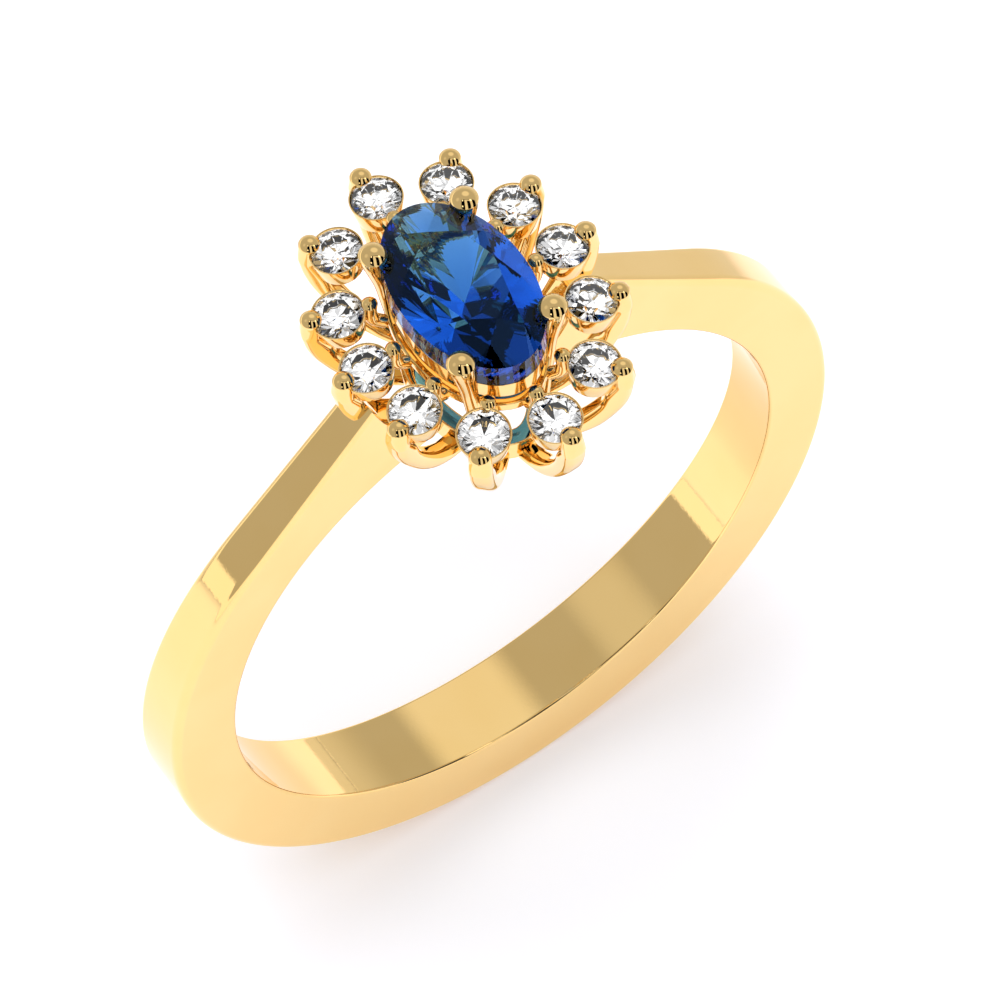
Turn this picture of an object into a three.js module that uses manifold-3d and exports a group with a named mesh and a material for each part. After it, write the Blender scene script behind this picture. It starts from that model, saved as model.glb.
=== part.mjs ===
import * as THREE from 'three';
import { mergeVertices } from 'three/addons/utils/BufferGeometryUtils.js';
import Module from 'manifold-3d';

// Engagement ring: a tapered shank carries an open head, with an oval stone on four prongs inside a halo of
// twelve round stones. Each halo stone has its own collet, a swept outer claw and a slim inner pin.
// Millimetres. X runs across the ring, Y along the finger, Z up to the head. Everything is built about the
// centre of the finger bore and stood on the floor at the end.

const wasm = await Module();
wasm.setup();

// Space left for a solder seam, and for a stone in its seat.
const SEAM = 0.02;

// Facet edges finer than this are merged.
const SMALLEST_STEP = 0.004;

// Corners closer than this are one corner.
const JOIN_WITHIN = 1e-5;

// Shank: round bore, band thicker at the bottom, flat sides that narrow towards the head, straight shoulders.
const BORE_R = 8.25;
const BAND_R = 9.95;
const BOTTOM_R = 10.3;
const BOTTOM_BLEND = 1.3;
const SHOULDER_START = 46;
const SHOULDER_END = 81;
// An odd number of flat sides leaves one level side at the very bottom.
const BAND_SIDES = 75;
const BAND_STEP = (180 + 2 * SHOULDER_END) / BAND_SIDES;
const HALF_WIDTH = 0.855;
const WIDTH_TAPER = 0.031;
const BAND_EDGE = 0.12;
const BORE_STEPS = 120;
const BORE_LENGTH = 12;

// Halo: stones on an ellipse, leaning outwards. The two angles repeat in each quadrant, with one stone on
// each end of both axes.
const HALO_A = 2.89;
const HALO_B = 3.815;
const HALO_Z = 11.97;
const HALO_LEAN = 7;
const HALO_ANGLES = [0, 25.5, 55.7, 90, 124.3, 154.5, 180, 205.5, 235.7, 270, 304.3, 334.5];
const HALO_STONE_R = 0.63;

// Centre stone.
const CENTRE_A = 1.64;
const CENTRE_B = 2.61;
const CENTRE_Z = 13.05;

// Brilliant cut, as shares of the girdle radius (heights are shares of the narrow radius). The centre stone
// has a deep belly, which is a tall girdle. CENTRE_Z is the height of its upper edge.
const CUT = { table: 0.57, crown: 0.3, girdle: 0.05, pavilion: 0.84, star: 0.55, half: 0.24 };
const CENTRE_CUT = { ...CUT, girdle: 0.48 };

// Collet: a cone cup around each halo stone, outline as (radius, height) from the stone's girdle.
const COLLET = { top: 0.69, foot: 0.59, hole: 0.38, rise: 0.05, drop: 0.6, ledge: -0.02, waist: -0.36 };
const COLLET_SIDES = 20;

// Outer claw: a strap in the plane of the stone's outward normal. Points are (outwards, upwards) from the
// stone's centre, from the tip down to the base ring.
const CLAW_WIDTH = 0.6;
const CLAW_EDGE = 0.07;
const CLAW_OUTER = [
  [0.93, 0.14], [1.0, -0.15], [0.98, -0.54], [0.66, -1.58], [0.14, -2.52], [-0.52, -3.24], [-1.38, -3.73],
];
const CLAW_INNER = [
  [-1.38, -3.38], [-0.94, -3.1], [-0.42, -2.52], [0.05, -1.78], [0.24, -1.2], [0.36, -0.78], [0.56, -0.42],
  [0.62, 0.12],
];
const CLAW_BEAD = { out: 0.65, up: 0.15, r: 0.275 };
const CLAW_REACH = -1.38;
const CLAW_STEPS = 9;

// Inner pin: a round wire from its bead down to the gallery rail.
const PIN_PATH = [[-0.8, 0.18], [-0.8, -0.25], [-0.86, -0.55], [-1.13, -0.82]];
const PIN_R = 0.17;
const PIN_BEAD_R = 0.21;
const PIN_BEAD_SIDES = 8;
const PIN_BEAD_ROWS = 6;
const PIN_SIDES = 6;
const PIN_STEPS = 5;

// Base ring at the shank, gallery rail half way up and seat rail under the centre stone. Corners are
// (outwards, height): the first two ride on the halo's ellipse, the seat rail on the centre stone's.
const BASE_RING = [[-1.4, 7.9], [-1.4, 8.86], [-1.46, 8.92], [-1.8, 8.92], [-1.86, 8.86], [-1.86, 7.9]];
const GALLERY_RAIL = [
  [-1.18, 11.02], [-1.18, 11.22], [-1.25, 11.3], [-1.4, 11.3], [-1.46, 11.22], [-1.46, 11.02],
];
const SEAT_RAIL = [
  [-0.14, 11.56], [-0.04, 11.64], [-0.02, 12.2], [-0.08, 12.26], [-0.3, 12.1], [-0.36, 11.56],
];
const RAIL_STEPS = 40;
const HOLLOW_FOOT = 7;
const HOLLOW_TOP = 13;
const HOLLOW_STEPS = 18;

// Centre prongs, from a foot on the base ring to a round tip over the stone's edge.
const PRONG_FOOT = [0.84, 1.74, 8.94];
const PRONG_TIP = [1.34, 1.87, 13.28];
const PRONG_R = 0.27;
const PRONG_BEAD_R = 0.37;
const PRONG_SIDES = 10;
const PRONG_STEPS = 3;

// Beads on the claws and the centre prongs.
const BEAD_SIDES = 12;
const BEAD_ROWS = 8;

const GOLD = { color: 0xe8c074, roughness: 0.12, metalness: 1 };
const SAPPHIRE = { color: 0x1238a8, roughness: 0.02, metalness: 0 };
const DIAMOND = { color: 0xf2f4f8, roughness: 0.02, metalness: 0 };

const rad = THREE.MathUtils.degToRad;

// A closed body from rings of points, joined ring to ring, with flat ends unless the rings close on each
// other.
function loft(rings, closed = false) {
  const count = rings[0].length;
  const points = rings.flat();
  const index = [];
  const spans = closed ? rings.length : rings.length - 1;
  for (let i = 0; i < spans; i += 1) {
    const near = i * count;
    const far = ((i + 1) % rings.length) * count;
    for (let j = 0; j < count; j += 1) {
      const k = (j + 1) % count;
      index.push(near + j, near + k, far + k, near + j, far + k, far + j);
    }
  }
  if (!closed) {
    const last = (rings.length - 1) * count;
    for (let j = 1; j < count - 1; j += 1) {
      index.push(0, j + 1, j, last, last + j, last + j + 1);
    }
  }
  return facingOut(points, index);
}

// An indexed geometry with its faces turned so that the enclosed volume is positive.
function facingOut(points, index) {
  const origin = points[0];
  let volume = 0;
  for (let i = 0; i < index.length; i += 3) {
    const [a, b, c] = [0, 1, 2].map((k) => points[index[i + k]].clone().sub(origin));
    volume += a.dot(b.cross(c));
  }
  const turned = volume < 0 ? index.slice().reverse() : index;
  const geometry = new THREE.BufferGeometry().setFromPoints(points);
  geometry.setIndex(turned);
  return geometry;
}

function solidOf(geometry) {
  const bare = new THREE.BufferGeometry();
  bare.setAttribute('position', geometry.getAttribute('position').clone());
  if (geometry.index) bare.setIndex(geometry.index);
  const joined = mergeVertices(bare, JOIN_WITHIN);
  const mesh = new wasm.Mesh({
    numProp: 3,
    vertProperties: new Float32Array(joined.attributes.position.array),
    triVerts: new Uint32Array(joined.index.array),
  });
  return new wasm.Manifold(mesh);
}

function geometryOf(solid) {
  const mesh = solid.simplify(SMALLEST_STEP).getMesh();
  const geometry = new THREE.BufferGeometry();
  geometry.setAttribute('position', new THREE.BufferAttribute(new Float32Array(mesh.vertProperties), 3));
  geometry.setIndex(new THREE.BufferAttribute(new Uint32Array(mesh.triVerts), 1));
  const faceted = geometry.toNonIndexed();
  faceted.computeVertexNormals();
  return faceted;
}

// Outer radius of the band at an angle from +X towards +Z.
function bandRadius(degrees) {
  const low = (1 - Math.sin(rad(degrees))) / 2;
  const round = BAND_R + (BOTTOM_R - BAND_R) * low ** BOTTOM_BLEND;
  const past = degrees > 90 ? 180 - degrees : degrees;
  return past > SHOULDER_START ? round / Math.cos(rad(past - SHOULDER_START)) : round;
}

// The shank before the head is let into it, swollen by grow on every face. The middle of each outer side
// touches the round.
function band(grow) {
  const rings = [];
  for (let side = 0; side <= BAND_SIDES; side += 1) {
    const degrees = -180 - SHOULDER_END + side * BAND_STEP;
    const turn = rad(degrees);
    const inner = BORE_R - grow;
    const round = bandRadius(degrees < -90 ? -180 - degrees : degrees) + grow;
    const outer = round / Math.cos(rad(BAND_STEP / 2));
    const at = (radius, hand, inset) => {
      const z = radius * Math.sin(turn);
      const y = hand * (HALF_WIDTH - WIDTH_TAPER * z + grow - inset);
      return new THREE.Vector3(radius * Math.cos(turn), y, z);
    };
    rings.push([
      at(inner, -1, BAND_EDGE), at(inner + BAND_EDGE, -1, 0), at(outer - BAND_EDGE, -1, 0),
      at(outer, -1, BAND_EDGE), at(outer, 1, BAND_EDGE), at(outer - BAND_EDGE, 1, 0),
      at(inner + BAND_EDGE, 1, 0), at(inner, 1, BAND_EDGE),
    ]);
  }
  return solidOf(loft(rings));
}

// A point on an ellipse, with its outward normal and the direction along it.
function onEllipse(a, b, degrees) {
  const turn = rad(degrees);
  const centre = new THREE.Vector3(a * Math.cos(turn), b * Math.sin(turn), 0);
  const out = new THREE.Vector3(Math.cos(turn) / a, Math.sin(turn) / b, 0).normalize();
  const along = new THREE.Vector3(-out.y, out.x, 0);
  return { centre, out, along };
}

function offsetRing(a, b, outwards, z) {
  const ring = [];
  for (let i = 0; i < RAIL_STEPS; i += 1) {
    const { centre, out } = onEllipse(a, b, (360 * i) / RAIL_STEPS);
    ring.push(centre.addScaledVector(out, outwards).setZ(z));
  }
  return ring;
}

// An oval rail whose section corners are offset from an ellipse.
function rail(a, b, corners) {
  return solidOf(loft(corners.map(([outwards, z]) => offsetRing(a, b, outwards, z)), true));
}

// The section pushed out by grow on every side, for cutting the rail's clearance.
function swollen(corners, grow) {
  const total = corners.reduce((sum, p) => [sum[0] + p[0], sum[1] + p[1]], [0, 0]);
  const [midS, midZ] = total.map((v) => v / corners.length);
  return corners.map(([s, z]) => [s + grow * Math.sign(s - midS), z + grow * Math.sign(z - midZ)]);
}

// The space inside the claws: straight up round the base ring, then flaring along the claws' inner edge.
function headHollow() {
  const edge = new THREE.SplineCurve(CLAW_INNER.map(([s, up]) => new THREE.Vector2(s, up)));
  const flare = edge.getPoints(HOLLOW_STEPS).filter((p) => p.y < -COLLET.drop);
  const mouth = CLAW_INNER.at(-1)[0];
  const levels = [[CLAW_REACH, HOLLOW_FOOT], ...flare.map((p) => [p.x, p.y + HALO_Z]), [mouth, HOLLOW_TOP]];
  return solidOf(loft(levels.map(([s, z]) => offsetRing(HALO_A, HALO_B, s, z))));
}

// A brilliant: eight-sided table, star, kite and girdle facets above, kite and half facets below.
// Radius 1 in the plane, scaled to a by b; heights are shares of a, from the middle of the girdle.
function brilliant(cut, a, b, grow = 0) {
  const points = [];
  const tableZ = cut.girdle / 2 + cut.crown;
  const girdleZ = cut.girdle / 2;
  const eighth = Math.PI / 8;
  const starR = cut.table * Math.cos(eighth) + cut.star * (1 - cut.table * Math.cos(eighth));
  const crownSlope = cut.crown / (1 - cut.table);
  const starZ = tableZ - (starR * Math.cos(eighth) - cut.table) * crownSlope;
  const halfZ = -girdleZ - cut.pavilion * (1 - cut.half * Math.cos(eighth));
  const ring = (count, radius, z, turn) => {
    const first = points.length;
    for (let k = 0; k < count; k += 1) {
      const angle = turn + (2 * Math.PI * k) / count;
      const x = radius * Math.cos(angle);
      const y = radius * Math.sin(angle);
      points.push(new THREE.Vector3(x * (a + grow), y * (b + grow), z * (a + grow)));
    }
    return (k) => first + (((k % count) + count) % count);
  };
  const table = ring(8, cut.table, tableZ, 0);
  const star = ring(8, starR, starZ, eighth);
  const upper = ring(16, 1, girdleZ, 0);
  const lower = ring(16, 1, -girdleZ, 0);
  const half = ring(8, cut.half, halfZ, eighth);
  const culet = points.push(new THREE.Vector3(0, 0, (-girdleZ - cut.pavilion) * (a + grow))) - 1;
  const index = [];
  for (let k = 1; k < 7; k += 1) index.push(table(0), table(k), table(k + 1));
  for (let k = 0; k < 8; k += 1) {
    index.push(table(k), star(k), table(k + 1));
    index.push(table(k), star(k - 1), upper(2 * k), table(k), upper(2 * k), star(k));
    index.push(culet, half(k), lower(2 * k), culet, lower(2 * k), half(k - 1));
    for (const step of [0, 1]) {
      index.push(star(k), upper(2 * k + step), upper(2 * k + step + 1));
      index.push(half(k), lower(2 * k + step + 1), lower(2 * k + step));
    }
  }
  for (let k = 0; k < 16; k += 1) {
    index.push(upper(k), lower(k), lower(k + 1), upper(k), lower(k + 1), upper(k + 1));
  }
  return facingOut(points, index);
}

// The pose of a halo stone: origin at its girdle, Z along its own axis, X outwards.
function stonePose(degrees) {
  const { centre, out, along } = onEllipse(HALO_A, HALO_B, degrees);
  const lean = rad(HALO_LEAN);
  const axis = new THREE.Vector3(0, 0, Math.cos(lean)).addScaledVector(out, Math.sin(lean));
  const across = new THREE.Vector3().crossVectors(along, axis);
  return new THREE.Matrix4().makeBasis(across, along, axis).setPosition(centre.setZ(HALO_Z));
}

// The upright plane of a claw: X outwards, Y up, so a flat shape drawn in it stands along the normal.
function clawPose(degrees) {
  const { centre, out, along } = onEllipse(HALO_A, HALO_B, degrees);
  const pose = new THREE.Matrix4().makeBasis(out, new THREE.Vector3(0, 0, 1), along.negate());
  return pose.setPosition(centre.setZ(HALO_Z));
}

// A body turned round Z from (radius, height) points.
function turnedSolid(outline) {
  const points = outline.map((p) => new THREE.Vector2(...p));
  const turned = new THREE.LatheGeometry(points, COLLET_SIDES).rotateX(Math.PI / 2);
  turned.deleteAttribute('normal');
  turned.deleteAttribute('uv');
  const joined = mergeVertices(turned, JOIN_WITHIN);
  const position = joined.getAttribute('position');
  const corners = [];
  for (let i = 0; i < position.count; i += 1) {
    corners.push(new THREE.Vector3().fromBufferAttribute(position, i));
  }
  return solidOf(facingOut(corners, Array.from(joined.index.array)));
}

function colletSolid() {
  const { top, foot, hole, rise, drop, ledge, waist } = COLLET;
  const lip = HALO_STONE_R + SEAM;
  return turnedSolid([
    [hole, -drop], [foot, -drop], [top, rise], [lip, rise], [lip, ledge], [hole, waist], [hole, -drop],
  ]);
}

// Everything a claw or a pin must stay clear of at its own stone, in the stone's frame.
function seatCutter() {
  const { top, foot, rise, drop } = COLLET;
  const stone = solidOf(brilliant(CUT, HALO_STONE_R + SEAM, HALO_STONE_R + SEAM));
  const low = -drop - SEAM;
  const high = rise + SEAM;
  return stone.add(turnedSolid([[0, low], [foot + SEAM, low], [top + SEAM, high], [0, high]]));
}

function clawSolid() {
  const outline = [CLAW_OUTER, CLAW_INNER].flatMap((points) => {
    const curve = new THREE.SplineCurve(points.map((p) => new THREE.Vector2(...p)));
    return curve.getPoints(CLAW_STEPS);
  });
  const strap = new THREE.ExtrudeGeometry(new THREE.Shape(outline), {
    depth: CLAW_WIDTH - 2 * CLAW_EDGE,
    bevelSize: CLAW_EDGE,
    bevelThickness: CLAW_EDGE,
    bevelOffset: -CLAW_EDGE,
    bevelSegments: 1,
  });
  strap.translate(0, 0, CLAW_EDGE - CLAW_WIDTH / 2);
  const bead = new THREE.SphereGeometry(CLAW_BEAD.r, BEAD_SIDES, BEAD_ROWS).translate(CLAW_BEAD.out, CLAW_BEAD.up, 0);
  return solidOf(strap).add(solidOf(bead));
}

function wire(path, radius, sides, steps) {
  const section = new THREE.Shape();
  section.absarc(0, 0, radius, 0, 2 * Math.PI);
  return new THREE.ExtrudeGeometry(section, {
    extrudePath: new THREE.CatmullRomCurve3(path),
    steps,
    curveSegments: sides,
    bevelEnabled: false,
  });
}

function pinSolid() {
  const path = PIN_PATH.map(([s, up]) => new THREE.Vector3(s, up, 0));
  const bead = new THREE.SphereGeometry(PIN_BEAD_R, PIN_BEAD_SIDES, PIN_BEAD_ROWS).translate(path[0].x, path[0].y, 0);
  return solidOf(wire(path, PIN_R, PIN_SIDES, PIN_STEPS)).add(solidOf(bead));
}

function prongSolid(signX, signY) {
  const foot = new THREE.Vector3(signX * PRONG_FOOT[0], signY * PRONG_FOOT[1], PRONG_FOOT[2]);
  const tip = new THREE.Vector3(signX * PRONG_TIP[0], signY * PRONG_TIP[1], PRONG_TIP[2]);
  const path = [foot, foot.clone().lerp(tip, 0.5), tip];
  const bead = new THREE.SphereGeometry(PRONG_BEAD_R, BEAD_SIDES, BEAD_ROWS).translate(tip.x, tip.y, tip.z);
  return solidOf(wire(path, PRONG_R, PRONG_SIDES, PRONG_STEPS)).add(solidOf(bead));
}

const ring = new THREE.Group();
ring.name = 'engagement_ring';

function place(name, geometry, look) {
  const mesh = new THREE.Mesh(geometry.translate(0, 0, BOTTOM_R), new THREE.MeshStandardMaterial(look));
  mesh.name = name;
  ring.add(mesh);
}

function placeShankAndRails() {
  const shank = band(0).subtract(headHollow());
  place('shank', geometryOf(shank), GOLD);
  const bore = new THREE.CylinderGeometry(BORE_R + SEAM, BORE_R + SEAM, BORE_LENGTH, BORE_STEPS);
  const base = rail(HALO_A, HALO_B, BASE_RING).subtract(solidOf(bore));
  place('base_ring', geometryOf(base), GOLD);
  place('gallery_rail', geometryOf(rail(HALO_A, HALO_B, GALLERY_RAIL)), GOLD);
}

function placeCentre() {
  const middle = CENTRE_Z - (CENTRE_CUT.girdle / 2) * CENTRE_A;
  const stone = solidOf(brilliant(CENTRE_CUT, CENTRE_A, CENTRE_B).translate(0, 0, middle));
  const clearance = solidOf(brilliant(CENTRE_CUT, CENTRE_A, CENTRE_B, SEAM).translate(0, 0, middle));
  const seat = rail(CENTRE_A, CENTRE_B, SEAT_RAIL).subtract(clearance);
  place('seat_rail', geometryOf(seat), GOLD);
  const cutter = clearance
    .add(rail(CENTRE_A, CENTRE_B, swollen(SEAT_RAIL, SEAM)))
    .add(rail(HALO_A, HALO_B, swollen(GALLERY_RAIL, SEAM)));
  for (const [number, signX, signY] of [[1, 1, 1], [2, -1, 1], [3, -1, -1], [4, 1, -1]]) {
    place(`centre_prong_${number}`, geometryOf(prongSolid(signX, signY).subtract(cutter)), GOLD);
  }
  place('centre_stone', geometryOf(stone), SAPPHIRE);
}

function placeHalo() {
  const claw = clawSolid();
  const pin = pinSolid();
  const cup = colletSolid();
  const gem = solidOf(brilliant(CUT, HALO_STONE_R, HALO_STONE_R));
  const seat = seatCutter();
  const shoulder = band(SEAM);
  HALO_ANGLES.forEach((degrees, i) => {
    const number = String(i + 1).padStart(2, '0');
    const stoneAt = stonePose(degrees).toArray();
    const clawAt = clawPose(degrees).toArray();
    const keepClear = seat.transform(stoneAt);
    const strap = claw.transform(clawAt).subtract(keepClear).subtract(shoulder);
    const post = pin.transform(clawAt).subtract(keepClear);
    place(`outer_claw_${number}`, geometryOf(strap), GOLD);
    place(`inner_pin_${number}`, geometryOf(post), GOLD);
    place(`collet_${number}`, geometryOf(cup.transform(stoneAt)), GOLD);
    place(`halo_stone_${number}`, geometryOf(gem.transform(stoneAt)), DIAMOND);
  });
}

placeShankAndRails();
placeCentre();
placeHalo();

export default ring;
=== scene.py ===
# %% [markdown]
# # A halo engagement ring, in looks
# The goldsmith's pieces come first as plain solids, packed as a fixed frame. Here every one of them gets the
# surface the eye sees: true rounds, polished edges, cut stones. Each new piece stands exactly where its solid
# stands, so the ring keeps its real size.

import bpy
import numpy as np
from mathutils import Matrix


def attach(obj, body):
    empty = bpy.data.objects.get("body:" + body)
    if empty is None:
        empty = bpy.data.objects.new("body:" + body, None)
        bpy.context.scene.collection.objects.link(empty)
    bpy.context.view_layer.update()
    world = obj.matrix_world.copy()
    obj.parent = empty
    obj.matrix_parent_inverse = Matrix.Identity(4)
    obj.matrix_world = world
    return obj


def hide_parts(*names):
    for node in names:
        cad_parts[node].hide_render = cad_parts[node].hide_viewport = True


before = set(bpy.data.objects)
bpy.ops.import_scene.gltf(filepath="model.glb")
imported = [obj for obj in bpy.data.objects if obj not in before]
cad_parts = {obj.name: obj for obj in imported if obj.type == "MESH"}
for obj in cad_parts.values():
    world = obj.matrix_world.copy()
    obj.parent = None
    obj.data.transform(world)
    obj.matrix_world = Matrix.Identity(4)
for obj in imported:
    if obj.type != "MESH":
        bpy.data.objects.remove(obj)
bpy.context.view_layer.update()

# %% [markdown]
# ## Measures
# A ring is drawn about the centre of its finger hole: X across the ring, Y along the finger, Z up to the
# head. All lengths are in millimetres, and LIFT stands the finished ring on the floor, as the frame does.

# %% Measures of the ring
MM = 0.001
LIFT = 10.3

BORE_R = 8.25
BAND_R = 9.95
BOTTOM_R = 10.3
BOTTOM_BLEND = 1.3
SHOULDER_START = 46.0
SHOULDER_END = 79.4
HALF_WIDTH = 0.855
WIDTH_TAPER = 0.031

HALO_A = 2.89
HALO_B = 3.815
HALO_Z = 11.97
HALO_LEAN = 7.0
HALO_ANGLES = [0, 25.5, 55.7, 90, 124.3, 154.5, 180, 205.5, 235.7, 270, 304.3, 334.5]
HALO_STONE_R = 0.63

CENTRE_A = 1.64
CENTRE_B = 2.61
CENTRE_Z = 13.05

print("halo stones:", len(HALO_ANGLES), "centre stone mm:", 2 * CENTRE_A, "by", 2 * CENTRE_B)

# %% [markdown]
# ## Surfaces from grids of points
# Most metal here is a profile carried along a path. Its points make a grid: rows follow the path, columns go
# round the profile. One helper joins neighbours into faces, closes the ends and hands the mesh to Blender.


# %% Grid helpers
CREASE = np.radians(34)


def grid_faces(rows, cols, wrap_rows=False):
    """Quads between neighbours of a rows by cols grid whose columns go round: each point with the next one
    in its row and the same two in the next row.
    """
    r = np.arange(rows if wrap_rows else rows - 1)[:, None]
    c = np.arange(cols)[None, :]
    r2, c2 = (r + 1) % rows, (c + 1) % cols
    quads = np.stack([r * cols + c, r * cols + c2, r2 * cols + c2, r2 * cols + c], axis=-1)
    return quads.reshape(-1, 4)


def end_fan(ring, centre, flip):
    """Triangles from a ring of point numbers to one centre point."""
    ahead = np.roll(ring, -1)
    fan = np.stack([ring, ahead, np.full_like(ring, centre)], axis=-1)
    return fan[:, ::-1] if flip else fan


def signed_volume(points, faces):
    """Six times the volume inside the faces: the sum of corner triple products over a triangle fan of each
    face.
    """
    total = 0.0
    for f in faces:
        a, b, c = points[f[:, 0]], points[f[:, 1]], points[f[:, 2]]
        total += np.einsum("ij,ij->", a, np.cross(b, c))
        if f.shape[1] == 4:
            d = points[f[:, 3]]
            total += np.einsum("ij,ij->", a, np.cross(c, d))
    return total


def swept(grid, wrap_rows=False):
    """A closed body from a grid whose columns go round: sides between rows, and a fan to the middle of each
    end row unless the rows wrap.
    """
    rows, cols = grid.shape[:2]
    points = grid.reshape(-1, 3)
    faces = [grid_faces(rows, cols, wrap_rows)]
    if not wrap_rows:
        points = np.vstack([points, grid[0].mean(0), grid[-1].mean(0)])
        faces.append(end_fan(np.arange(cols), rows * cols, True))
        faces.append(end_fan(np.arange(cols) + (rows - 1) * cols, rows * cols + 1, False))
    if signed_volume(points, faces) < 0:
        faces = [f[:, ::-1] for f in faces]
    return points, faces


def make_piece(name, points, faces, material, node, slot, smooth=True):
    """A mesh object in metres, standing for one solid of the frame and riding on the ring's one body."""
    mesh = bpy.data.meshes.new(name)
    lifted = (points + [0, 0, LIFT]) * MM
    mesh.from_pydata(lifted.tolist(), [], [f for part in faces for f in part.tolist()])
    mesh.polygons.foreach_set("use_smooth", [smooth] * len(mesh.polygons))
    mesh.materials.append(material)
    mesh.update()
    if smooth:
        mesh.set_sharp_from_angle(angle=CREASE)
    piece = bpy.data.objects.new(name, mesh)
    bpy.context.scene.collection.objects.link(piece)
    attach(piece, "root")
    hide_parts(node)
    return piece


print("a 3 by 4 grid has", len(grid_faces(3, 4)), "faces when its columns wrap")

# %% [markdown]
# ## Shader sums as plain Python
# A material is easier to read as a sum than as a web of nodes. A small class wraps one socket, so that
# writing `a * b + 1` adds the Math nodes, and any other node comes from one method.


# %% Shader helper
class Wire:
    """One output socket that can be added, subtracted, multiplied and divided like a number."""

    def __init__(self, tree, socket):
        self.tree, self.socket = tree, socket

    def node(self, kind, settings=None, sockets=None):
        """A new node: its settings first, then the values or links of its sockets by name or number."""
        made = self.tree.nodes.new(kind)
        for key, value in (settings or {}).items():
            setattr(made, key, value)
        for key, value in (sockets or {}).items():
            put(self.tree, made.inputs[key], value)
        return made

    def math(self, operation, *terms):
        """The result of one Math node over its terms."""
        made = self.node("ShaderNodeMath", {"operation": operation}, dict(enumerate(terms)))
        return Wire(self.tree, made.outputs[0])

    def __add__(self, other):
        return self.math("ADD", self, other)

    def __sub__(self, other):
        return self.math("SUBTRACT", self, other)

    def __rsub__(self, other):
        return self.math("SUBTRACT", other, self)

    def __mul__(self, other):
        return self.math("MULTIPLY", self, other)

    def __truediv__(self, other):
        return self.math("DIVIDE", self, other)

    __radd__, __rmul__ = __add__, __mul__

    def step_up(self, low, high):
        """0 below low, 1 above high, with a smooth rise between."""
        sockets = {"Value": self, "From Min": low, "From Max": high}
        ramp = self.node("ShaderNodeMapRange", {"interpolation_type": "SMOOTHSTEP"}, sockets)
        return Wire(self.tree, ramp.outputs["Result"])

    def dot(self, axis):
        """How far a vector points along a fixed axis: their dot product."""
        made = self.node("ShaderNodeVectorMath", {"operation": "DOT_PRODUCT"}, {0: self, 1: tuple(axis)})
        return Wire(self.tree, made.outputs["Value"])

    def length(self):
        """How long a vector is."""
        made = self.node("ShaderNodeVectorMath", {"operation": "LENGTH"}, {0: self})
        return Wire(self.tree, made.outputs["Value"])


def put(tree, socket, value):
    """A link if value is a wire, or else a plain setting."""
    if isinstance(value, Wire):
        tree.links.new(value.socket, socket)
    else:
        socket.default_value = value


def new_material(name):
    """A material with its node tree, its one Principled shader and its object coordinates as a wire."""
    material = bpy.data.materials.new(name)
    material.use_nodes = True
    tree = material.node_tree
    shader = tree.nodes["Principled BSDF"]
    place = tree.nodes.new("ShaderNodeTexCoord")
    return material, tree, shader, Wire(tree, place.outputs["Object"])


def mixed(wire, factor, first, second):
    """A colour between two colours."""
    mix = wire.node("ShaderNodeMix", {"data_type": "RGBA"}, {0: factor, 6: first, 7: second})
    return Wire(wire.tree, mix.outputs[2])


def noise(place, scale, detail=2.0):
    """Smooth random values from 0 to 1 over object coordinates."""
    sockets = {"Vector": place, "Scale": scale, "Detail": detail, "Roughness": 0.5}
    made = place.node("ShaderNodeTexNoise", None, sockets)
    return Wire(place.tree, made.outputs["Fac"])


print("a wire can do:", [word for word in vars(Wire) if not word.startswith("_")])

# %% [markdown]
# ## Polished yellow gold
# Eighteen carat gold is a mirror with a warm tint. A polisher finishes it on soft mops, which leaves two
# things the eye just catches: a faint unevenness in gloss, and hairlines far finer than a tenth of a
# millimetre. Both are noise: a broad one on roughness and colour, a very fine one as bump.

# %% Gold
GOLD_COLOUR = (1.0, 0.695, 0.285, 1.0)
GOLD_DEEP = (0.985, 0.675, 0.265, 1.0)
GLOSS = 0.02
DRIFT_SCALE = 420.0
HAIRLINE_SCALE = 9000.0
HAIRLINE_DEPTH = 0.00002


def gold_material(name, gloss):
    """Metal whose colour and gloss drift with a broad noise, with a trace of fine noise on its normal."""
    material, tree, shader, place = new_material(name)
    broad = noise(place, DRIFT_SCALE)
    hairlines = noise(place, HAIRLINE_SCALE, 3.0)
    put(tree, shader.inputs["Base Color"], mixed(place, broad.step_up(0.35, 0.65), GOLD_COLOUR, GOLD_DEEP))
    put(tree, shader.inputs["Roughness"], broad.step_up(0.3, 0.7) * (gloss * 0.5) + gloss)
    shader.inputs["Metallic"].default_value = 1.0
    sockets = {"Strength": 0.03, "Distance": HAIRLINE_DEPTH, "Height": hairlines}
    bump = place.node("ShaderNodeBump", None, sockets)
    tree.links.new(bump.outputs["Normal"], shader.inputs["Normal"])
    return material


gold = gold_material("polished_gold", GLOSS)
print("gold colour", GOLD_COLOUR[:3])

# %% [markdown]
# ## The shank
# The band starts as a bar with flat sides, bent round and soldered. It is widest and thickest at the
# bottom, narrows evenly towards the top, and its two shoulders run straight up to carry the head. The
# section at every angle is a rectangle with eased edges, so the whole band is one sweep round the bore.


# %% Shank outline
def band_radius(degrees):
    """Outer radius at an angle from +X: a circle that swells towards the bottom, then the straight
    shoulder's tangent line, which is the circle's radius over the cosine of the angle past the tangent.
    """
    side = np.where(degrees > 90, 180 - degrees, degrees)
    low = (1 - np.sin(np.radians(side))) / 2
    round_r = BAND_R + (BOTTOM_R - BAND_R) * low**BOTTOM_BLEND
    past = np.radians(np.maximum(side - SHOULDER_START, 0))
    return round_r / np.cos(past)


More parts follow.
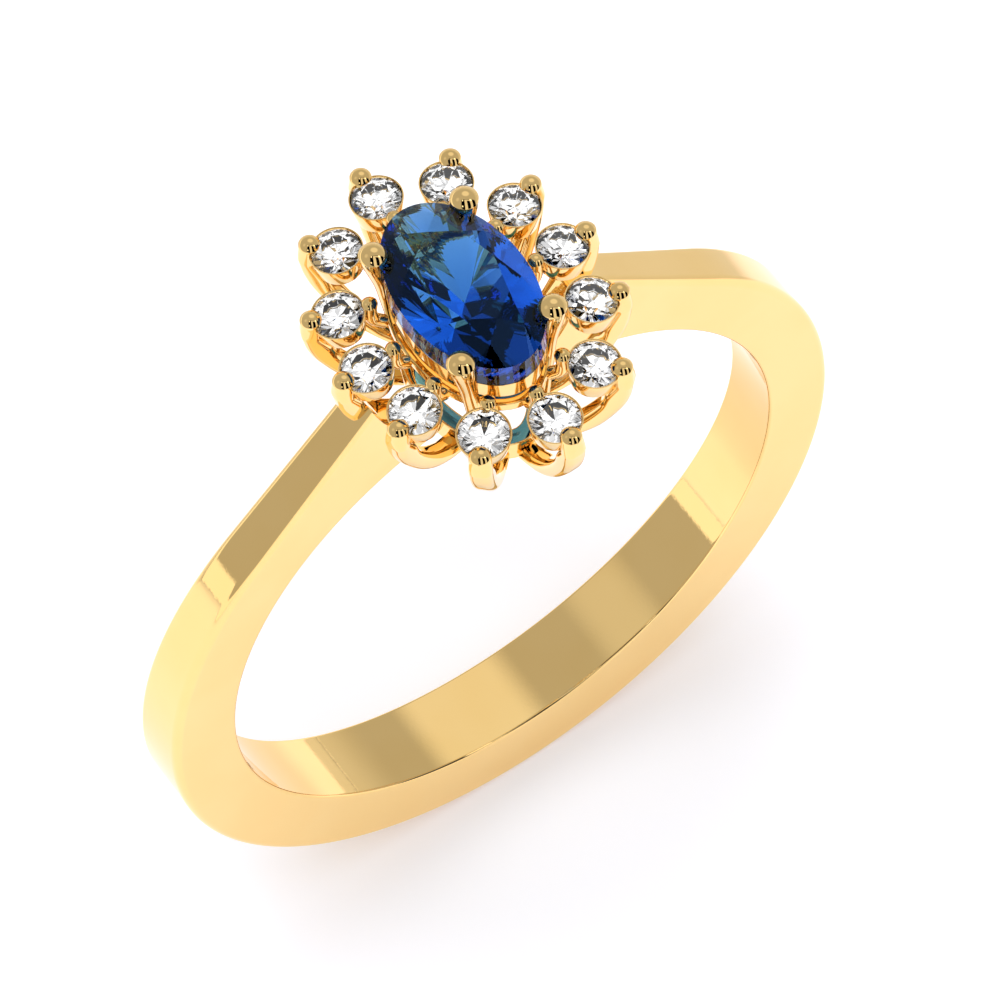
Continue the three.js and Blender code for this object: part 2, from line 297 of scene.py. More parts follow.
def spline(points, samples):
    """Points on a smooth curve through the given ones: a cubic between each pair whose end slopes are half
    the step between their neighbours.
    """
    p = np.array(points, float)
    p = np.vstack([2 * p[0] - p[1], p, 2 * p[-1] - p[-2]])
    at = np.linspace(0, len(points) - 1, samples)
    i = np.minimum(at.astype(int), len(points) - 2)
    t = (at - i)[:, None]
    a, b, c, d = p[i], p[i + 1], p[i + 2], p[i + 3]
    return b + t * (c - a) / 2 + t**2 * (a - 2.5 * b + 2 * c - d / 2) + t**3 * (1.5 * (b - c) + (d - a) / 2)


NO_LIMIT = 99.0
CLAW_OUTER = [[0.975, -0.42], [0.88, -1.0], [0.67, -1.58], [0.15, -2.52], [-0.52, -3.25], [-1.38, -3.74]]
CLAW_INNER = [[0.50, -0.52], [0.28, -1.0], [0.08, -1.66], [-0.42, -2.52], [-0.94, -3.1], [-1.38, -3.38]]


def hollow_radius(degrees):
    """How far the shoulder may rise at an angle: where that ray meets the claws' inner edge."""
    edge = spline(CLAW_INNER, 200)
    x, z = HALO_A + edge[:, 0], HALO_Z + edge[:, 1]
    angle, radius = np.degrees(np.arctan2(z, x)), np.hypot(x, z)
    order = np.argsort(angle)
    side = np.where(degrees > 90, 180 - degrees, degrees)
    return np.where(side < angle.min(), NO_LIMIT, np.interp(side, angle[order], radius[order]))


print("radius at the bottom, side and shoulder:", np.round(band_radius(np.array([-90.0, 0.0, 70.0])), 2))


# %% [markdown]
# ### The band as one sweep
# A polished band never has a knife edge: the mops round the outer corners most and the bore's corners least,
# for comfort. Each section is a rectangle with a quarter circle at every corner and a narrow strip of flat
# beside it, which keeps the shading of the broad flats true. Where the head stands, the shoulders stop under
# the claws.


# %% Shank surface
OUTER_EDGE, BORE_EDGE = 0.2, 0.07
EDGE_STRIP = 0.03
EDGE_STEPS = 7
THINNEST = 0.3
COARSE_END, COARSE_ROWS = 67.0, 420
FINE_START, FINE_ROWS = 68.0, 60


def eased_corner(radius, start):
    """Offsets round one corner from a starting angle: a strip of one flat, a quarter circle and a strip of
    the next flat.
    """
    turn = np.radians(start + np.linspace(0, 90, EDGE_STEPS))
    unit = np.stack([np.cos(turn), np.sin(turn)], axis=-1)
    arc = unit * radius
    return np.vstack([arc[0] - EDGE_STRIP * unit[-1], arc, arc[-1] - EDGE_STRIP * unit[0]])


def shank_grid():
    """Rows at angles round the bore. Each row is a rectangle from the bore to the outer radius and out to
    the two side planes, whose half width falls evenly with height, with each corner eased.
    """
    fine = np.linspace(FINE_START, SHOULDER_END, FINE_ROWS)
    coarse = np.linspace(-180 - COARSE_END, COARSE_END, COARSE_ROWS)
    turn = np.concatenate([-180 - fine[::-1], coarse, fine])
    folded = np.where(turn < -90, -180 - turn, turn)
    outer = np.clip(band_radius(folded), BORE_R + THINNEST, hollow_radius(folded))
    angle = np.radians(turn)
    columns = []
    for far, side, start in ((1, -1, 270), (1, 1, 0), (-1, 1, 90), (-1, -1, 180)):
        base = outer if far > 0 else BORE_R
        fillet = OUTER_EDGE if far > 0 else BORE_EDGE
        for dr, dy in eased_corner(fillet, start):
            radius = base - far * fillet + dr
            z = radius * np.sin(angle)
            y = side * (HALF_WIDTH - WIDTH_TAPER * z - fillet) + dy
            columns.append(np.stack([radius * np.cos(angle), y, z], axis=-1))
    return np.stack(columns, axis=1)


shank = make_piece("band", *swept(shank_grid()), gold, "shank", "gold")
print("band faces:", len(shank.data.polygons))

# %% [markdown]
# ## Where a halo piece stands
# Twelve stones sit evenly round an oval. Everything that holds one stone is made once, about that stone's
# centre, then carried to its place: out along the oval's normal, along its tangent, and leaning a little.


# %% Places on the oval
def oval(a, b, degrees):
    """A point at an angle on an ellipse, with its outward normal and its tangent."""
    t = np.radians(degrees)
    centre = np.stack([a * np.cos(t), b * np.sin(t), 0 * t], axis=-1)
    out = np.stack([np.cos(t) / a, np.sin(t) / b, 0 * t], axis=-1)
    out /= np.linalg.norm(out, axis=-1, keepdims=True)
    along = np.stack([-out[..., 1], out[..., 0], 0 * t], axis=-1)
    return centre, out, along


def to_halo(points, degrees, lean=0.0):
    """Points given as outwards, along and up from a stone's centre, moved to that stone. The lean tips them
    outwards about the tangent.
    """
    centre, out, along = oval(HALO_A, HALO_B, np.float64(degrees))
    tip = np.radians(lean)
    up = np.array([0, 0, 1.0])
    across = out * np.cos(tip) - up * np.sin(tip)
    axis = up * np.cos(tip) + out * np.sin(tip)
    return centre + [0, 0, HALO_Z] + points @ np.stack([across, along, axis])


print("first stone stands at", np.round(to_halo(np.zeros((1, 3)), 0)[0], 2))

# %% [markdown]
# ## Outer claws
# Each claw is a flat strap of gold, bent like a petal: it leaves the base ring, swings out and up, passes
# the side of the stone's cup, and ends in a round bead pressed over the stone. The sweep's section is a
# rectangle with soft corners that turns into a circle where the bead begins.


# %% Domed caps
CAP_TURN = 57.0
CROWN_TURN = 3.0


def cap_rows(radius, steps=12):
    """Radius and drop of the rows over a dome that is part of a ball: the ball's radius is the rim's over
    the sine of the cap's half angle, and the drop from the crown is the ball's radius less its cosine
    share.
    """
    ball = radius / np.sin(np.radians(CAP_TURN))
    turn = np.radians(np.linspace(CROWN_TURN, CAP_TURN, steps))
    return ball * np.sin(turn), ball * (1 - np.cos(turn))


print("a cap over a rim of 0.27 stands", round(float(cap_rows(0.27)[1][-1]), 3), "mm high")

# %% [markdown]
# ### From bead to strap
# A setter files the top of the strap to a point and rounds it over the stone with a cupped burr. So the rows
# start as circles on the cap, and a short neck turns them into the strap's soft rectangle.


# %% Outer claws
CLAW_HALF = 0.30
CLAW_EDGE = 0.21
CLAW_BEAD = (0.675, 0.12, 0.275)
CLAW_ROWS = 60
NECK_ROWS = 12
CORNER_STEPS = 8
ALMOST = 0.999


def soft_rectangle(half_x, half_y, radius, steps):
    """Offsets round a rectangle with quarter-circle corners, for whole arrays of sizes at once: corner
    centres plus the corner radius times cosine and sine.
    """
    offsets = []
    for quarter, (sx, sy) in enumerate(((1, 1), (-1, 1), (-1, -1), (1, -1))):
        for k in range(steps):
            turn = np.radians(90 * quarter + 90 * k / (steps - 1))
            x = sx * (half_x - radius) + radius * np.cos(turn)
            y = sy * (half_y - radius) + radius * np.sin(turn)
            offsets.append(np.stack([x, y], axis=-1))
    return np.stack(offsets, axis=1)


def claw_grid():
    """Rows from the cap's crown to the claw's foot. Over the cap the row is a circle; below it the middle
    lies half way between the claw's outer and inner edges, and the half thickness is half their distance.
    """
    out, up, rim = CLAW_BEAD
    size, drop = cap_rows(rim)
    count = len(size)
    crown_up = up + drop[-1]
    top = np.stack([np.full(count, out), crown_up - drop], axis=-1)
    outer, inner = spline(CLAW_OUTER, CLAW_ROWS), spline(CLAW_INNER, CLAW_ROWS)
    middle = (outer + inner) / 2
    thick = np.linalg.norm(outer - inner, axis=-1) / 2
    slant = (outer - inner) / (2 * thick[:, None])
    blend = np.linspace(0, 1, NECK_ROWS)[1:-1, None]
    ease = blend * blend * (3 - 2 * blend)
    neck = top[-1] + (middle[0] - top[-1]) * np.hstack([ease, blend])
    neck_thick = rim + (thick[0] - rim) * ease[:, 0]
    neck_half = rim + (CLAW_HALF - rim) * blend[:, 0]
    neck_round = rim + (CLAW_EDGE - rim) * ease[:, 0]
    tipped = (1 - ease) * [1.0, 0.0] + ease * slant[:1]
    tipped /= np.linalg.norm(tipped, axis=-1, keepdims=True)
    middles = np.vstack([top, neck, middle])
    across = np.vstack([np.tile([1.0, 0.0], (count, 1)), tipped, slant])
    half_x = np.concatenate([size, neck_thick, thick])
    half_y = np.concatenate([size, neck_half, np.full(CLAW_ROWS, CLAW_HALF)])
    radius = np.concatenate([size, neck_round, np.full(CLAW_ROWS, CLAW_EDGE)])
    offsets = soft_rectangle(half_x, half_y, np.minimum(radius, half_x * ALMOST), CORNER_STEPS)
    x = middles[:, None, 0] + offsets[..., 0] * across[:, None, 0]
    z = middles[:, None, 1] + offsets[..., 0] * across[:, None, 1]
    return np.stack([x, offsets[..., 1], z], axis=-1)


claw_points, claw_faces = swept(claw_grid())
for i, degrees in enumerate(HALO_ANGLES):
    placed = to_halo(claw_points, degrees)
    make_piece(f"claw_{i + 1:02d}", placed, claw_faces, gold, f"outer_claw_{i + 1:02d}", "gold")
print("claw faces:", sum(len(f) for f in claw_faces))

# %% [markdown]
# ## Inner pins
# On the side of the centre stone a slim round wire holds each halo stone. It ends in a small bead above,
# and below it bends in to the gallery rail, which carries it.


# %% Inner pins
PIN_PATH = [[-0.8, 0.18], [-0.8, -0.25], [-0.86, -0.55], [-1.13, -0.82]]
PIN_RIM, PIN_WIRE = 0.205, 0.17
PIN_ROWS, PIN_SIDES = 24, 24
PIN_NECK = 0.25


def round_wire(path, radii, sides):
    """A round tube: at each point of a path in the outwards and up plane, a circle across the path."""
    path = np.array(path, float)
    slope = np.gradient(path, axis=0)
    slope /= np.linalg.norm(slope, axis=-1, keepdims=True)
    turn = np.linspace(0, 2 * np.pi, sides, endpoint=False)
    across = np.stack([-slope[:, 1], slope[:, 0]], axis=-1)
    x = path[:, None, 0] + radii[:, None] * np.cos(turn) * across[:, None, 0]
    z = path[:, None, 1] + radii[:, None] * np.cos(turn) * across[:, None, 1]
    y = radii[:, None] * np.sin(turn) + 0 * x
    return np.stack([x, y, z], axis=-1)


def beaded_wire(path, rim, wire):
    """A wire with a domed top: rows over the cap, then rows whose radius falls evenly over the neck from the
    rim's to the wire's.
    """
    path = np.array(path, float)
    size, drop = cap_rows(rim, 10)
    top = path[0] + np.stack([0 * drop, drop[-1] - drop], axis=-1)
    along = spline(path, PIN_ROWS)[1:]
    far = np.linspace(0, 1, PIN_ROWS)[1:]
    radii = wire + (rim - wire) * np.clip(1 - far / PIN_NECK, 0, 1)
    return round_wire(np.vstack([top, along]), np.concatenate([size, radii]), PIN_SIDES)


pin_points, pin_faces = swept(beaded_wire(PIN_PATH, PIN_RIM, PIN_WIRE))
for i, degrees in enumerate(HALO_ANGLES):
    placed = to_halo(pin_points, degrees)
    make_piece(f"pin_{i + 1:02d}", placed, pin_faces, gold, f"inner_pin_{i + 1:02d}", "gold")
print("pin faces:", sum(len(f) for f in pin_faces))

# %% [markdown]
# ## Collets
# Each halo stone drops into a small cup with a tapering wall and a bright, slightly rounded rim. A cup is a
# profile turned once round its axis.


# %% Collets
COLLET = [(0.38, -0.6), (0.59, -0.6), (0.69, 0.05), (0.65, 0.05), (0.645, -0.02), (0.38, -0.36)]
COLLET_EASE, COLLET_SIDES = 0.02, 64
EASE_SHARE, EASE_STEPS = 0.4, 4


def turned(profile, sides):
    """A ring-shaped body: radius and height pairs turned round the upright axis."""
    profile = np.array(profile, float)
    turn = np.linspace(0, 2 * np.pi, sides, endpoint=False)
    x = profile[:, None, 0] * np.cos(turn)
    y = profile[:, None, 0] * np.sin(turn)
    z = profile[:, None, 1] + 0 * x
    return np.stack([x, y, z], axis=-1)


def eased_profile(corners, ease):
    """A closed outline with each corner cut by a short curve: the corner is left and joined again at the
    ease's distance, through a parabola.
    """
    corners = np.array(corners, float)
    t = np.linspace(0, 1, EASE_STEPS)[None, :, None]
    ends = []
    for neighbour in (np.roll(corners, 1, axis=0), np.roll(corners, -1, axis=0)):
        towards = neighbour - corners
        side = np.linalg.norm(towards, axis=-1, keepdims=True)
        ends.append(corners + towards / side * np.minimum(ease, EASE_SHARE * side))
    a, b, c = ends[0][:, None], corners[:, None], ends[1][:, None]
    return ((1 - t) ** 2 * a + 2 * t * (1 - t) * b + t**2 * c).reshape(-1, 2)


cup_grid = turned(eased_profile(COLLET, COLLET_EASE), COLLET_SIDES)
collet_points, collet_faces = swept(cup_grid, wrap_rows=True)
for i, degrees in enumerate(HALO_ANGLES):
    placed = to_halo(collet_points, degrees, HALO_LEAN)
    make_piece(f"cup_{i + 1:02d}", placed, collet_faces, gold, f"collet_{i + 1:02d}", "gold")
print("cup faces:", sum(len(f) for f in collet_faces))

# %% [markdown]
# ## Rails
# Three oval rails tie the head together. The base ring sits in the top of the bore, the gallery rail gathers
# the pins and prongs half way up, and the seat rail lies close under the centre stone's belly.


# %% Rails
BASE_RING = [[-1.4, 8.0], [-1.4, 8.92], [-1.86, 8.92], [-1.86, 8.0]]
GALLERY_RAIL = [[-1.18, 11.02], [-1.18, 11.3], [-1.46, 11.3], [-1.46, 11.02]]
SEAT_RAIL = [[-0.14, 11.56], [-0.03, 11.62], [-0.02, 12.2], [-0.08, 12.16], [-0.3, 11.97], [-0.36, 11.56]]
BASE_EASE, RAIL_EASE = 0.05, 0.04
RAIL_STEPS = 160
CLEARANCE = 0.02


def rail_grid(a, b, corners, ease):
    """Rows are corners of the section, offset from an ellipse along its normal and set at their heights;
    columns go round the ellipse.
    """
    profile = eased_profile(corners, ease)
    centre, out, _ = oval(a, b, np.linspace(0, 360, RAIL_STEPS, endpoint=False))
    ring = centre[None] + out[None] * profile[:, None, :1]
    ring[..., 2] = profile[:, None, 1]
    return ring


def trim_to_bore(grid):
    """Points under the bore's round top are lifted on to it: height is at least the circle's there."""
    bore_top = np.sqrt(np.maximum((BORE_R + CLEARANCE) ** 2 - grid[..., 0] ** 2, 0))
    trimmed = grid.copy()
    trimmed[..., 2] = np.maximum(grid[..., 2], bore_top)
    return trimmed


base_grid = trim_to_bore(rail_grid(HALO_A, HALO_B, BASE_RING, BASE_EASE))
gallery_grid = rail_grid(HALO_A, HALO_B, GALLERY_RAIL, RAIL_EASE)
seat_grid = rail_grid(CENTRE_A, CENTRE_B, SEAT_RAIL, RAIL_EASE)
make_piece("base_oval", *swept(base_grid, True), gold, "base_ring", "gold")
make_piece("gallery_oval", *swept(gallery_grid, True), gold, "gallery_rail", "gold")
make_piece("seat_oval", *swept(seat_grid, True), gold, "seat_rail", "gold")
print("rail points:", base_grid.size // 3, gallery_grid.size // 3, seat_grid.size // 3)

# %% [markdown]
# ## Centre prongs
# Four stout prongs rise from the base ring, lean out past the rails, and end in large beads over the centre
# stone. They are swept like the pins, but in space.


# %% Centre prongs
PRONG_FOOT = np.array([0.84, 1.74, 8.94])
PRONG_TIP = np.array([1.34, 1.87, 13.28])
PRONG_RIM, PRONG_WIRE = 0.36, 0.22
PRONG_ROWS, PRONG_SIDES = 30, 40
PRONG_NECK = 0.4


def prong_grid(foot, tip, rim, wire):
    """Rows over the cap, then circles down a straight line whose radius eases from the rim to the wire."""
    size, drop = cap_rows(rim, 14)
    up = np.array([0, 0, 1.0])
    tops = tip + up * (drop[-1] - drop)[:, None]
    share = np.linspace(0, 1, PRONG_ROWS)[1:]
    shaft = tip + (foot - tip) * share[:, None]
    ease = np.clip(share / PRONG_NECK, 0, 1)
    radii = rim + (wire - rim) * ease * ease * (3 - 2 * ease)
    middles = np.vstack([tops, shaft])
    widths = np.concatenate([size, radii])
    turn = np.linspace(0, 2 * np.pi, PRONG_SIDES, endpoint=False)
    level = np.stack([np.cos(turn), np.sin(turn), 0 * turn], axis=-1)
    return middles[:, None] + widths[:, None, None] * level[None]


for number, sign_x, sign_y in ((1, 1, 1), (2, -1, 1), (3, -1, -1), (4, 1, -1)):
    sign = np.array([sign_x, sign_y, 1])
    grid = prong_grid(PRONG_FOOT * sign, PRONG_TIP * sign, PRONG_RIM, PRONG_WIRE)
    make_piece(f"prong_{number}", *swept(grid), gold, f"centre_prong_{number}", "gold")
print("points on each prong:", grid.size // 3)

# %% [markdown]
# ## The stones
# A brilliant is cut in flat facets by rule. Above the girdle: a table, eight stars, eight kites, sixteen
# halves. Below: eight mains and sixteen halves. The kites stay flat because each star point is placed in
# the plane through the table's corner and the girdle. Facets are never smoothed.


# %% Brilliant cut
TABLE, CROWN, PAVILION = 0.57, 0.3, 0.84
STAR, HALF = 0.55, 0.24
GIRDLE, BELLY = 0.05, 0.48
GIRDLE_FINE = 4


def brilliant(a, b, girdle):
    """Corners on rings at eight equal angles, and a girdle of sixteen facets with each one cut fine for a
    round edge. The star ring's height lies on the kite's plane: table height less the slope times how far
    out the point is along the kite's own direction. The lower ring does the same for the mains.
    """
    eighth = np.pi / 8
    star_r = TABLE * np.cos(eighth) + STAR * (1 - TABLE * np.cos(eighth))
    table_z = girdle / 2 + CROWN
    star_z = table_z - (star_r * np.cos(eighth) - TABLE) * CROWN / (1 - TABLE)
    half_z = -girdle / 2 - PAVILION * (1 - HALF * np.cos(eighth))
    around = 16 * GIRDLE_FINE

    def ring(count, radius, z, start):
        t = start + np.arange(count) * 2 * np.pi / count
        return np.stack([radius * np.cos(t), radius * np.sin(t), np.full(count, z)], axis=-1)

    points = np.vstack([
        ring(8, TABLE, table_z, 0),
        ring(8, star_r, star_z, eighth),
        ring(8, HALF, half_z, eighth),
        [[0, 0, -girdle / 2 - PAVILION]],
        ring(around, 1, girdle / 2, 0),
        ring(around, 1, -girdle / 2, 0),
    ]) * [a, b, a]

    k, j = np.arange(8), np.arange(around)
    culet = 24
    upper = culet + 1
    lower = upper + around
    per_eighth = 2 * GIRDLE_FINE
    before, ahead = (k - 1) % 8, (j + 1) % around
    owner = j // per_eighth
    stars = np.stack([k, 8 + k, (k + 1) % 8], axis=-1)
    kites = np.stack([k, 8 + before, upper + per_eighth * k, 8 + k], axis=-1)
    uppers = np.stack([8 + owner, upper + j, upper + ahead], axis=-1)
    mains = np.stack([np.full(8, culet), 16 + k, lower + per_eighth * k, 16 + before], axis=-1)
    lowers = np.stack([16 + owner, lower + ahead, lower + j], axis=-1)
    belt = np.stack([upper + j, lower + j, lower + ahead, upper + ahead], axis=-1)
    return points, [k[None], stars, kites, uppers, belt, lowers, mains]


print("facets:", sum(len(f) for f in brilliant(1, 1, GIRDLE)[1]))

# %% [markdown]
# ## Sapphire and diamond
# Both are clear crystals, so their look is refraction and inner mirror bounces, not surface colour. Sapphire
# bends light less and swallows all but blue. Natural sapphire is never quite even: soft colour zones drift
# through it, so a broad noise moves the tint.


# %% Gem materials
def gem_material(name, ior, pale, deep, zone_scale, glint, soak=None, density=0.0):
    """A clear refracting body whose tint drifts between two colours. Inside it light turns towards the soak
    colour, the more so the further it goes, and the glint colour sets how much of the surroundings its
    polish returns.
    """
    material, tree, shader, place = new_material(name)
    zone = noise(place, zone_scale, 1.0).step_up(0.35, 0.65)
    put(tree, shader.inputs["Base Color"], mixed(place, zone, pale, deep))
    shader.inputs["Roughness"].default_value = 0.0
    shader.inputs["Transmission Weight"].default_value = 1.0
    shader.inputs["IOR"].default_value = ior
    shader.inputs["Specular Tint"].default_value = glint
    if density:
        inside = place.node("ShaderNodeVolumeAbsorption", None, {"Color": soak, "Density": density})
        tree.links.new(inside.outputs["Volume"], tree.nodes["Material Output"].inputs["Volume"])
    return material


sapphire = gem_material(
    "sapphire", 1.77, (0.34, 0.56, 0.82, 1), (0.26, 0.46, 0.76, 1), 500.0,
    glint=(0.10, 0.24, 0.60, 1), soak=(0.01, 0.51, 0.86, 1), density=780.0,
)
diamond = gem_material(
    "diamond", 2.42, (0.99, 0.99, 0.995, 1), (0.97, 0.973, 0.98, 1), 900.0,
    glint=(0.7, 0.7, 0.7, 1),
)
print("gems bend light by", sapphire.node_tree.nodes["Principled BSDF"].inputs["IOR"].default_value,
      "and", diamond.node_tree.nodes["Principled BSDF"].inputs["IOR"].default_value)

# %% [markdown]
# ### Setting the stones
# The centre stone is a deep one, with a tall belly under its edge that hides the rail it sits on. The halo
# stones have the usual thin edge and lean outwards with their cups.

# %% The stones in place
centre_points, centre_faces = brilliant(CENTRE_A, CENTRE_B, BELLY)
centre_placed = centre_points + [0, 0, CENTRE_Z - BELLY / 2 * CENTRE_A]
make_piece("blue_oval", centre_placed, centre_faces, sapphire, "centre_stone", "sapphire", smooth=False)
small_points, small_faces = brilliant(HALO_STONE_R, HALO_STONE_R, GIRDLE)
for i, degrees in enumerate(HALO_ANGLES):
    placed = to_halo(small_points, degrees, HALO_LEAN)
    node = f"halo_stone_{i + 1:02d}"
    make_piece(f"spark_{i + 1:02d}", placed, small_faces, diamond, node, "diamond", smooth=False)
print("centre stone stands", round(float(np.ptp(centre_placed[:, 2])), 2), "mm deep")

# %% [markdown]
# ## Floor
# Jewellery is shown on a plain white sweep. Polished gold shows the floor back to the eye, so the floor's own
# evenness matters. It glows a little: painted light that stands in for a lit sweep. The glow also carries
# painted shade: it is weaker close round the ring, a painted shadow, and gone on the far side, a painted
# shade that the gold shows back. The stage is measured in metres.

# %% Floor
FLOOR_HALF = 3.0
FLOOR_WHITES = (0.90, 0.90, 0.90, 1), (0.92, 0.92, 0.92, 1)
FLOOR_GLOW = 0.5
GLOW_COLOUR, NO_GLOW = (0.80, 0.82, 1.0, 1), (0.0, 0.0, 0.0, 1)
FAR_SIDE, FAR_FROM, FAR_TO = (0.42, 0.91, 0.0), 0.022, 0.032
NEAR_FROM, NEAR_TO, NEAR_SHADE = 0.005, 0.013, 0.45

floor_corners = [(x * FLOOR_HALF, y * FLOOR_HALF, 0) for x, y in ((-1, -1), (1, -1), (1, 1), (-1, 1))]
floor_mesh = bpy.data.meshes.new("floor")
floor_mesh.from_pydata(floor_corners, [], [(0, 1, 2, 3)])
floor = bpy.data.objects.new("floor", floor_mesh)
bpy.context.scene.collection.objects.link(floor)

floor_look, floor_tree, floor_shader, floor_place = new_material("white_sweep")
# Painted shade in the floor's glow: none on the far side, and less near the ring as a painted shadow.
far_side = floor_place.dot(FAR_SIDE).step_up(FAR_FROM, FAR_TO)
near_ring = 1 - floor_place.length().step_up(NEAR_FROM, NEAR_TO)
painted_shade = near_ring * NEAR_SHADE * (1 - far_side) + far_side
cloudy = noise(floor_place, 30.0)
put(floor_tree, floor_shader.inputs["Base Color"], mixed(floor_place, cloudy, *FLOOR_WHITES))
put(floor_tree, floor_shader.inputs["Emission Color"], mixed(floor_place, painted_shade, GLOW_COLOUR, NO_GLOW))
floor_shader.inputs["Emission Strength"].default_value = FLOOR_GLOW
floor_shader.inputs["Roughness"].default_value = 0.9
floor_shader.inputs["Specular IOR Level"].default_value = 0.0
floor_mesh.materials.append(floor_look)
print("floor nodes:", len(floor_tree.nodes))

# %% [markdown]
# ## Sky
# A mirror shows its whole surroundings, so the sky round the ring matters more than the lamps. It is even
# and dim above, which gives the shoulders their deeper gold, and it meets the floor in white. Two soft
# patches lighten the bore and the backs of the beads. In front stands a dark card with a bright frame and a
# few small lights: that is what puts the window-shaped sparkle into every bead.

# %% Sky helpers
scene = bpy.context.scene
scene.view_settings.view_transform = "Standard"
world = bpy.data.worlds.new("studio")
scene.world = world
world.use_nodes = True
sky_tree = world.node_tree
sky_tree.nodes.clear()
sky_place = sky_tree.nodes.new("ShaderNodeTexCoord")
sky_out = sky_tree.nodes.new("ShaderNodeOutputWorld")
sky_back = sky_tree.nodes.new("ShaderNodeBackground")
sky_back.inputs["Color"].default_value = (1, 1, 1, 1)
sky_tree.links.new(sky_back.outputs[0], sky_out.inputs[0])
direction = Wire(sky_tree, sky_place.outputs["Generated"])


def heading(turn, rise):
    """The unit vector at a turn from +Y towards +X and a rise above the floor, in degrees."""
    t, e = np.radians([turn, rise])
    return np.array([np.sin(t) * np.cos(e), np.cos(t) * np.cos(e), np.sin(e)])


def round_lamp(turn, rise, reach, edge):
    """1 within reach of a heading, falling to 0 over the edge, both in degrees."""
    near, far = np.cos(np.radians([reach, reach + edge]))
    return direction.dot(heading(turn, rise)).step_up(far, near)


def card(turn, rise):
    """Flat coordinates across and up on a card that faces the ring from a heading: how far a direction goes
    sideways and upwards for each step ahead. A third value is 1 on the card's side of the ring.
    """
    front, side = heading(turn, rise), heading(turn + 90, 0)
    ahead = direction.dot(front)
    across = direction.dot(side) / ahead
    upwards = direction.dot(np.cross(side, front)) / ahead
    return across, upwards, ahead.step_up(0.02, 0.04)


def panel(where, left, right, low, high, edge=0.02):
    """1 inside a rectangle on a card, with a soft edge."""
    across, upwards, front = where
    inside = across.step_up(left - edge, left + edge) * (1 - across.step_up(right - edge, right + edge))
    inside = inside * upwards.step_up(low - edge, low + edge)
    return inside * (1 - upwards.step_up(high - edge, high + edge)) * front


print("straight ahead is", np.round(heading(0, 0), 2))

# %% Sky
SKY, SKY_LOW, HORIZON = 0.52, 0.20, 1.22
BORE_PATCH, LEFT_PATCH = 0.36, 0.18
LEFT_RISE = 0.13
FRAME_GLOW, LIGHT_GLOW = 0.85, 2.0

height = direction.dot((0, 0, 1))
leftwards = direction.dot((-1, 0, 0)).step_up(-0.2, 0.4)
open_sky = SKY + SKY_LOW * (1 - height.step_up(0.0, 0.35)) * (1 - leftwards)
open_sky = open_sky + BORE_PATCH * round_lamp(47, 53, 13, 11) + LEFT_PATCH * round_lamp(-55, 48, 2, 13)
sweep = 1 - (height - leftwards * LEFT_RISE).step_up(-0.012, 0.012)
sky = open_sky + (HORIZON - open_sky) * sweep
print("open sky nodes:", len(sky_tree.nodes))

# %% [markdown]
# ### The card in front
# A bead seen from above and from one side would show a straight card leaning and squeezed. So the card's
# coordinates are sheared and turned until its frame stands upright in the beads.

# %% Front card
across, upwards, in_front = card(180, 36)
sheared_across = across * -1.03 - upwards * 0.31 - 0.12
sheared_up = across * -0.74 + upwards * 0.98 - 0.16
front_card = (sheared_across, sheared_up, in_front)
dark = panel(front_card, -1.2, 1.3, -0.95, 0.9, 0.06)
bright_frame = panel(front_card, -0.55, 0.55, -0.90, 0.80) * (1 - panel(front_card, -0.20, 0.20, -0.62, 0.56))
lights = panel(front_card, -1.02, -0.78, 0.50, 0.80) + panel(front_card, 0.30, 0.54, 0.62, 0.90)
lights = lights + panel(front_card, -1.08, -0.86, -0.60, -0.38)
sky = sky * (1 - dark) + bright_frame * FRAME_GLOW + lights * LIGHT_GLOW
put(sky_tree, sky_back.inputs["Strength"], sky)
print("sky nodes:", len(sky_tree.nodes))

# %% [markdown]
# ## Overhead lamp
# One broad lamp, high above and a little to the left, lays a faint shadow under the ring. The polish doesn't
# show the lamp itself, only its light on the floor.


# %% Lamp
LAMP_PLACE, LAMP_AIM = np.array([-0.06, 0.04, 0.50]), np.array([0, 0, 0.010])
LAMP_SIZE, LAMP_WATTS = 0.8, 1.75


def standing(axes, place):
    """The matrix of an object whose own right, up and back are the given axes, at a place."""
    return Matrix.Translation(place.tolist()) @ Matrix(np.stack(axes, axis=-1).tolist()).to_4x4()


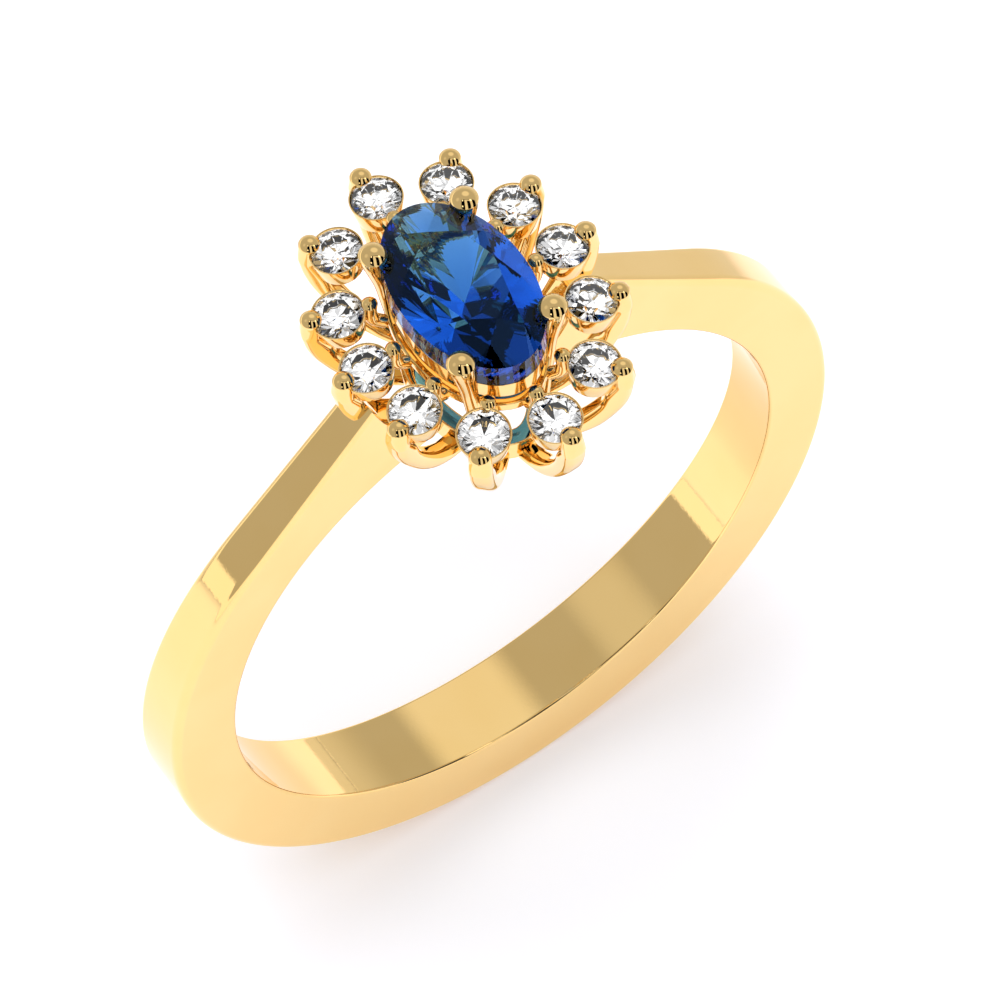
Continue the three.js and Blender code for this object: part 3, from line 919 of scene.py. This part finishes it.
lamp = bpy.data.lights.new("overhead", "AREA")
lamp.size, lamp.energy = LAMP_SIZE, LAMP_WATTS
overhead = bpy.data.objects.new("overhead", lamp)
scene.collection.objects.link(overhead)
lamp_back = (LAMP_PLACE - LAMP_AIM) / np.linalg.norm(LAMP_PLACE - LAMP_AIM)
lamp_side = np.cross([0, 1, 0], lamp_back)
lamp_side /= np.linalg.norm(lamp_side)
overhead.matrix_world = standing((lamp_side, np.cross(lamp_back, lamp_side), lamp_back), LAMP_PLACE)
overhead.visible_glossy = False
print("lamp stands", round(float(np.linalg.norm(LAMP_PLACE - LAMP_AIM)), 3), "m from the ring")

# %% [markdown]
# ## Camera
# A long lens from far off keeps the ring's proportions true. It looks down on the head from the front left,
# far enough round to show the stones, the side of the band and the inside of the bore at once.

# %% Camera
CAMERA_TURN = -30.1937
CAMERA_RISE = 61.047
CAMERA_ROLL = -5.2002
CAMERA_AWAY = 204.063
CAMERA_RIGHT = 0.3227
CAMERA_UP = 1.1181
LENS = 288.0
SENSOR = 36.0


def camera_axes(turn, rise, roll):
    """Right, up and back of a camera that looks at the bore's centre from a turn round Z and a rise above
    the floor, then rolled about its own line of sight.
    """
    t, e, k = np.radians([turn, rise, roll])
    back = np.array([np.sin(t) * np.cos(e), -np.cos(t) * np.cos(e), np.sin(e)])
    right = np.array([np.cos(t), np.sin(t), 0.0])
    up = np.cross(back, right)
    return np.cos(k) * right + np.sin(k) * up, np.cos(k) * up - np.sin(k) * right, back


right, up, back = camera_axes(CAMERA_TURN, CAMERA_RISE, CAMERA_ROLL)
eye = (back * CAMERA_AWAY + right * CAMERA_RIGHT + up * CAMERA_UP + [0, 0, LIFT]) * MM
camera_data = bpy.data.cameras.new("camera")
camera_data.lens, camera_data.sensor_width = LENS, SENSOR
camera_data.clip_start, camera_data.clip_end = 0.01, 10.0
camera = bpy.data.objects.new("camera", camera_data)
scene.collection.objects.link(camera)
camera.matrix_world = standing((right, up, back), eye)
scene.camera = camera
print("camera stands at", np.round(eye / MM, 1).tolist(), "mm")

# %% [markdown]
